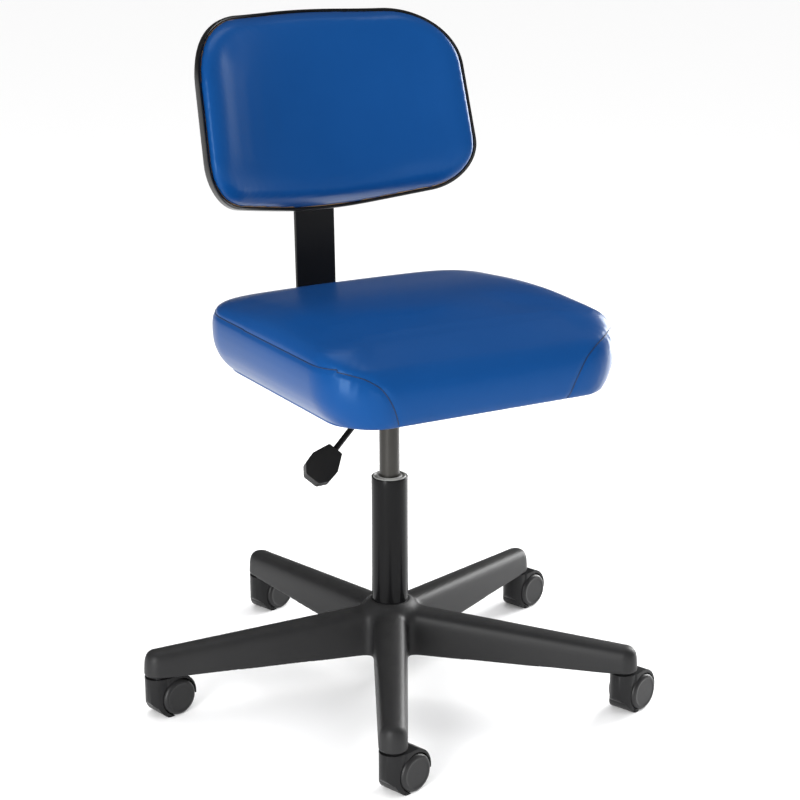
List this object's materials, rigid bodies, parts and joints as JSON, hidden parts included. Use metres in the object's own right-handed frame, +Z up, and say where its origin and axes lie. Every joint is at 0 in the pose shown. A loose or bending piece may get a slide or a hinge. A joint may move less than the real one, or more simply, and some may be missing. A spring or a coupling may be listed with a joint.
{
  "type": "swivel office chair",
  "caption": "Armless swivel chair: vinyl seat and curved backrest on a bent flat bar, gas lift with lever, star base on hooded casters.",
  "frame": {"origin": "on the floor, on the column's vertical axis", "axes": "+Z up; the chair faces -Y; +X is to the right of someone who looks at the chair from the front"},
  "size_m": [0.6912, 0.6721, 0.908],
  "materials": {
    "base_plastic": "satin moulded dark grey-black nylon with a fine texture",
    "tube_enamel": "gloss black enamel",
    "guide_plastic": "satin grey guide ring",
    "bright_steel": "ground and zinc-bright steel",
    "gas_tube_metal": "satin dark warm-grey metal",
    "zinc_steel": "zinc plated",
    "black_enamel": "satin black powder coat",
    "grip_plastic": "black moulded plastic, fine grain",
    "plywood": "bare birch plywood",
    "blue_vinyl": "royal blue coated upholstery vinyl, fine grain, satin sheen",
    "black_felt": "black non-woven dust cover",
    "trim_plastic": "black extruded edge trim",
    "shell_plastic": "black moulded plastic with a fine leather texture",
    "caster_hood_plastic": "dark grey-black moulded nylon, half gloss",
    "wheel_plastic": "dark grey moulded nylon, half gloss"
  },
  "bodies": {
    "base": {"five_star_base": "base_plastic", "column_tube": "tube_enamel", "column_guide": "guide_plastic", "thrust_bearing": "bright_steel", "caster_stem_1": "bright_steel", "caster_stem_2": "bright_steel", "caster_stem_3": "bright_steel", "caster_stem_4": "bright_steel", "caster_stem_5": "bright_steel"},
    "lift_rod": {"spring_rod": "bright_steel", "rod_clip": "bright_steel"},
    "seat_unit": {"gas_cylinder": "gas_tube_metal", "taper_socket": "black_enamel", "mechanism_tray": "black_enamel", "lever_pin": "bright_steel", "bar_guide": "black_enamel", "clamp_nut": "bright_steel", "seat_board": "plywood", "seat_cushion": "blue_vinyl", "under_cover": "black_felt", "seat_bolts": "zinc_steel", "seat_tee_nuts": "zinc_steel", "arm_tee_nuts": "zinc_steel"},
    "height_lever": {"lever_rod": "black_enamel", "lever_knob": "grip_plastic"},
    "valve_pin": {"release_pin": "bright_steel"},
    "depth_clamp": {"depth_knob": "grip_plastic"},
    "back_support": {"back_bar": "black_enamel", "bar_end_cap": "trim_plastic"},
    "backrest": {"back_bracket": "black_enamel", "bracket_liner": "trim_plastic", "knob_nut": "bright_steel", "back_board": "plywood", "back_shell": "shell_plastic", "back_trim": "trim_plastic", "back_cushion": "blue_vinyl", "back_screws": "zinc_steel", "back_tee_nuts": "zinc_steel"},
    "height_clamp": {"height_knob": "grip_plastic"},
    "caster_1": {"caster_hood_1": "caster_hood_plastic", "caster_axle_1": "bright_steel"},
    "left_wheel_1": {"wheel_left_1": "wheel_plastic"},
    "right_wheel_1": {"wheel_right_1": "wheel_plastic"},
    "caster_2": {"caster_hood_2": "caster_hood_plastic", "caster_axle_2": "bright_steel"},
    "left_wheel_2": {"wheel_left_2": "wheel_plastic"},
    "right_wheel_2": {"wheel_right_2": "wheel_plastic"},
    "caster_3": {"caster_hood_3": "caster_hood_plastic", "caster_axle_3": "bright_steel"},
    "left_wheel_3": {"wheel_left_3": "wheel_plastic"},
    "right_wheel_3": {"wheel_right_3": "wheel_plastic"},
    "caster_4": {"caster_hood_4": "caster_hood_plastic", "caster_axle_4": "bright_steel"},
    "left_wheel_4": {"wheel_left_4": "wheel_plastic"},
    "right_wheel_4": {"wheel_right_4": "wheel_plastic"},
    "caster_5": {"caster_hood_5": "caster_hood_plastic", "caster_axle_5": "bright_steel"},
    "left_wheel_5": {"wheel_left_5": "wheel_plastic"},
    "right_wheel_5": {"wheel_right_5": "wheel_plastic"}
  },
  "joints": [
    {"name": "seat_swivel", "type": "hinge", "parent": "base", "child": "lift_rod", "pos_m": [0, 0, 0.2], "axis": [0, 0, 1], "continuous": true},
    {"name": "seat_lift", "type": "slide", "parent": "lift_rod", "child": "seat_unit", "axis": [0, 0, 1], "range_m": [-0.075, 0.05]},
    {"name": "lever_lift", "type": "hinge", "parent": "seat_unit", "child": "height_lever", "pos_m": [-0.02791, -0.01099, 0.41914], "axis": [-0.3665, 0.9304, 0], "range_deg": [0, 7], "stiffness_Nm_per_rad": 4},
    {"name": "valve_press", "type": "slide", "parent": "seat_unit", "child": "valve_pin", "axis": [0, 0, 1], "range_m": [-0.0043, 0]},
    {"name": "back_depth", "type": "slide", "parent": "seat_unit", "child": "back_support", "axis": [0, 1, 0], "range_m": [-0.02, 0.035]},
    {"name": "depth_knob_turn", "type": "hinge", "parent": "seat_unit", "child": "depth_clamp", "pos_m": [0, 0.094, 0.388], "axis": [0, 0, 1], "range_deg": [-360, 0]},
    {"name": "back_height", "type": "slide", "parent": "back_support", "child": "backrest", "axis": [0, 0.2504, 0.9681], "range_m": [-0.04, 0.035]},
    {"name": "height_knob_turn", "type": "hinge", "parent": "backrest", "child": "height_clamp", "pos_m": [0, 0.24499, 0.76472], "axis": [0, 0.9681, -0.2504], "range_deg": [0, 360]},
    {"name": "caster_swivel_1", "type": "hinge", "parent": "base", "child": "caster_1", "pos_m": [-0.15774, -0.28872, 0.025], "axis": [0, 0, 1], "continuous": true},
    {"name": "wheel_spin_left_1", "type": "hinge", "parent": "caster_1", "child": "left_wheel_1", "pos_m": [-0.13782, -0.28274, 0.025], "axis": [-0.2874, 0.9578, 0], "continuous": true},
    {"name": "wheel_spin_right_1", "type": "hinge", "parent": "caster_1", "child": "right_wheel_1", "pos_m": [-0.13782, -0.28274, 0.025], "axis": [-0.2874, 0.9578, 0], "continuous": true},
    {"name": "caster_swivel_2", "type": "hinge", "parent": "base", "child": "caster_2", "pos_m": [0.22584, -0.23924, 0.025], "axis": [0, 0, 1], "continuous": true},
    {"name": "wheel_spin_left_2", "type": "hinge", "parent": "caster_2", "child": "left_wheel_2", "pos_m": [0.24543, -0.23223, 0.025], "axis": [-0.3371, 0.9415, 0], "continuous": true},
    {"name": "wheel_spin_right_2", "type": "hinge", "parent": "caster_2", "child": "right_wheel_2", "pos_m": [0.24543, -0.23223, 0.025], "axis": [-0.3371, 0.9415, 0], "continuous": true},
    {"name": "caster_swivel_3", "type": "hinge", "parent": "base", "child": "caster_3", "pos_m": [0.29732, 0.14086, 0.025], "axis": [0, 0, 1], "continuous": true},
    {"name": "wheel_spin_left_3", "type": "hinge", "parent": "caster_3", "child": "left_wheel_3", "pos_m": [0.31708, 0.14736, 0.025], "axis": [-0.3123, 0.95, 0], "continuous": true},
    {"name": "wheel_spin_right_3", "type": "hinge", "parent": "caster_3", "child": "right_wheel_3", "pos_m": [0.31708, 0.14736, 0.025], "axis": [-0.3123, 0.95, 0], "continuous": true},
    {"name": "caster_swivel_4", "type": "hinge", "parent": "base", "child": "caster_4", "pos_m": [-0.04209, 0.3263, 0.025], "axis": [0, 0, 1], "continuous": true},
    {"name": "wheel_spin_left_4", "type": "hinge", "parent": "caster_4", "child": "left_wheel_4", "pos_m": [-0.02231, 0.33272, 0.025], "axis": [-0.309, 0.9511, 0], "continuous": true},
    {"name": "wheel_spin_right_4", "type": "hinge", "parent": "caster_4", "child": "right_wheel_4", "pos_m": [-0.02231, 0.33272, 0.025], "axis": [-0.309, 0.9511, 0], "continuous": true},
    {"name": "caster_swivel_5", "type": "hinge", "parent": "base", "child": "caster_5", "pos_m": [-0.32333, 0.0608, 0.025], "axis": [0, 0, 1], "continuous": true},
    {"name": "wheel_spin_left_5", "type": "hinge", "parent": "caster_5", "child": "left_wheel_5", "pos_m": [-0.30305, 0.06541, 0.025], "axis": [-0.2215, 0.9751, 0], "continuous": true},
    {"name": "wheel_spin_right_5", "type": "hinge", "parent": "caster_5", "child": "right_wheel_5", "pos_m": [-0.30305, 0.06541, 0.025], "axis": [-0.2215, 0.9751, 0], "continuous": true}
  ],
  "couplings": [
    {"joint": "valve_press", "follows": "lever_lift", "m_per_rad": -0.0345}
  ]
}
